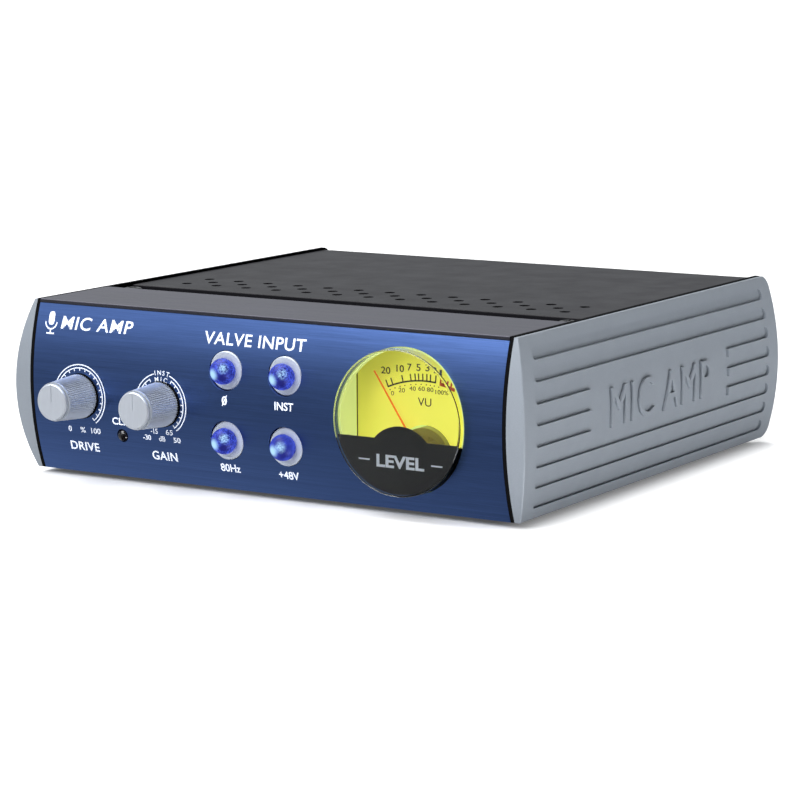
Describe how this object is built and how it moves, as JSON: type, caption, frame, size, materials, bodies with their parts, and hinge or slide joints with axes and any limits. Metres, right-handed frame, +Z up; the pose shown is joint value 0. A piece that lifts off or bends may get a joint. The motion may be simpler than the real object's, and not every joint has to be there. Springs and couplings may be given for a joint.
{
  "type": "microphone preamp",
  "caption": "Compact desktop microphone preamp with a bowed brushed front, two knurled knobs, lit push buttons, a round level meter and ribbed moulded sides.",
  "frame": {"origin": "middle of the whole object's box at the lowest face of the rubber feet", "axes": "+Z up, the front panel faces -Y, +X to the right seen from the front"},
  "size_m": [0.1478, 0.1456, 0.0445],
  "materials": {
    "blue_anodised": "blue anodised, brushed left to right, satin clear",
    "dark_brushed": "dark grey anodised, brushed left to right",
    "black_powder": "fine black powder coat, satin",
    "black_satin": "black satin paint",
    "silver_moulding": "silver-grey painted moulding, satin, faint speckle",
    "foot_rubber": "matt black rubber",
    "black_screw": "black oxide, slightly glossy",
    "zinc_steel": "bright zinc",
    "knob_silver": "satin anodised, fine straight knurl",
    "knob_face": "brushed, bright edge",
    "shaft_metal": "turned",
    "part_plastic": "moulded black",
    "lamp_clear": "clear blue lamp",
    "lamp_smoked": "smoked red lamp, unlit",
    "lamp_amber": "amber lamp, lit",
    "button_blue": "frosted translucent blue, lit from behind",
    "collar_silver": "satin silver ring",
    "meter_acrylic": "clear polished acrylic",
    "mask_black": "black print",
    "dial_yellow": "lit yellow dial card",
    "meter_shell": "moulded meter case lit yellow-green inside",
    "magnet_steel": "dark plated steel",
    "contact_brass": "bright brass",
    "copper_winding": "enamelled copper wire",
    "needle_red": "orange-red paint",
    "board_green": "green solder mask over glass laminate",
    "tube_glass": "clear glass with a silvery top",
    "electrode_grey": "dark carbonised nickel",
    "socket_white": "white socket moulding",
    "capacitor_sleeve": "dark blue shrink sleeve",
    "chip_epoxy": "black epoxy",
    "connector_black": "black glass-filled nylon",
    "latch_metal": "nickel plate",
    "contact_silver": "silver plate",
    "jack_black": "black nylon",
    "nut_black": "black moulded nut",
    "rocker_black": "black moulding with a light wear"
  },
  "bodies": {
    "root": {"base_plate": "black_powder", "board_screws": "zinc_steel", "board_standoffs": "zinc_steel", "button_lamps": "lamp_clear", "button_switches": "part_plastic", "capacitors": "capacitor_sleeve", "case_screws": "black_screw", "cheek_screws": "zinc_steel", "circuit_chips": "chip_epoxy", "clip_lamp": "lamp_smoked", "connector_screws": "black_screw", "control_board": "board_green", "front_panel": "blue_anodised", "front_panel_nuts": "zinc_steel", "front_top_trim": "dark_brushed", "jack_nuts": "nut_black", "left_cheek": "silver_moulding", "left_side_plate": "black_satin", "main_board": "board_green", "meter_bridges": "contact_brass", "meter_dial": "dial_yellow", "meter_housing": "meter_shell", "meter_lamps": "lamp_amber", "meter_lens": "meter_acrylic", "meter_magnet": "magnet_steel", "meter_mask": "mask_black", "potentiometers": "part_plastic", "power_inlet": "connector_black", "power_switch_housing": "connector_black", "quarter_inch_jacks": "jack_black", "rear_panel": "black_powder", "right_cheek": "silver_moulding", "right_side_plate": "black_satin", "rubber_feet": "foot_rubber", "top_cover": "black_powder", "tube_electrodes": "electrode_grey", "tube_socket": "socket_white", "vacuum_tube": "tube_glass", "xlr_input_insert": "connector_black", "xlr_input_shell": "connector_black", "xlr_output_pins": "contact_silver", "xlr_output_shell": "connector_black"},
    "drive_control": {"drive_knob": "knob_silver", "drive_knob_cap": "knob_face", "drive_pot_shaft": "shaft_metal"},
    "gain_control": {"gain_knob": "knob_silver", "gain_knob_cap": "knob_face", "gain_pot_shaft": "shaft_metal"},
    "meter_movement": {"meter_coil": "copper_winding", "meter_needle": "needle_red"},
    "input_latch": {"xlr_input_latch": "latch_metal"},
    "power_rocker": {"power_switch_rocker": "rocker_black"},
    "phase_button": {"phase_button_cap": "button_blue", "phase_button_collar": "collar_silver"},
    "instrument_button": {"instrument_button_cap": "button_blue", "instrument_button_collar": "collar_silver"},
    "low_cut_button": {"low_cut_button_cap": "button_blue", "low_cut_button_collar": "collar_silver"},
    "phantom_button": {"phantom_button_cap": "button_blue", "phantom_button_collar": "collar_silver"}
  },
  "joints": [
    {"name": "drive_turn", "type": "hinge", "parent": "root", "child": "drive_control", "pos_m": [-0.0533, -0.05775, 0.0214], "axis": [0, 1, 0], "range_deg": [-140, 140]},
    {"name": "gain_turn", "type": "hinge", "parent": "root", "child": "gain_control", "pos_m": [-0.0283, -0.05775, 0.0214], "axis": [0, 1, 0], "range_deg": [-140, 140]},
    {"name": "phase_press", "type": "slide", "parent": "root", "child": "phase_button", "axis": [0, 1, 0], "range_m": [0, 0.0018], "stiffness_N_per_m": 300, "springref_m": -0.001},
    {"name": "instrument_press", "type": "slide", "parent": "root", "child": "instrument_button", "axis": [0, 1, 0], "range_m": [0, 0.0018], "stiffness_N_per_m": 300, "springref_m": -0.001},
    {"name": "low_cut_press", "type": "slide", "parent": "root", "child": "low_cut_button", "axis": [0, 1, 0], "range_m": [0, 0.0018], "stiffness_N_per_m": 300, "springref_m": -0.001},
    {"name": "phantom_press", "type": "slide", "parent": "root", "child": "phantom_button", "axis": [0, 1, 0], "range_m": [0, 0.0018], "stiffness_N_per_m": 300, "springref_m": -0.001},
    {"name": "needle_swing", "type": "hinge", "parent": "root", "child": "meter_movement", "pos_m": [0.0419, -0.05775, 0.0138], "axis": [0, 1, 0], "range_deg": [0, 66.8], "stiffness_Nm_per_rad": 0.0001, "springref_deg": -17.19},
    {"name": "latch_press", "type": "slide", "parent": "root", "child": "input_latch", "axis": [0, 0, -1], "range_m": [0, 0.001], "stiffness_N_per_m": 300, "springref_m": -0.001},
    {"name": "power_rock", "type": "hinge", "parent": "root", "child": "power_rocker", "pos_m": [0.038, 0.06545, 0.0215], "axis": [1, 0, 0], "range_deg": [-16, 0]}
  ]
}
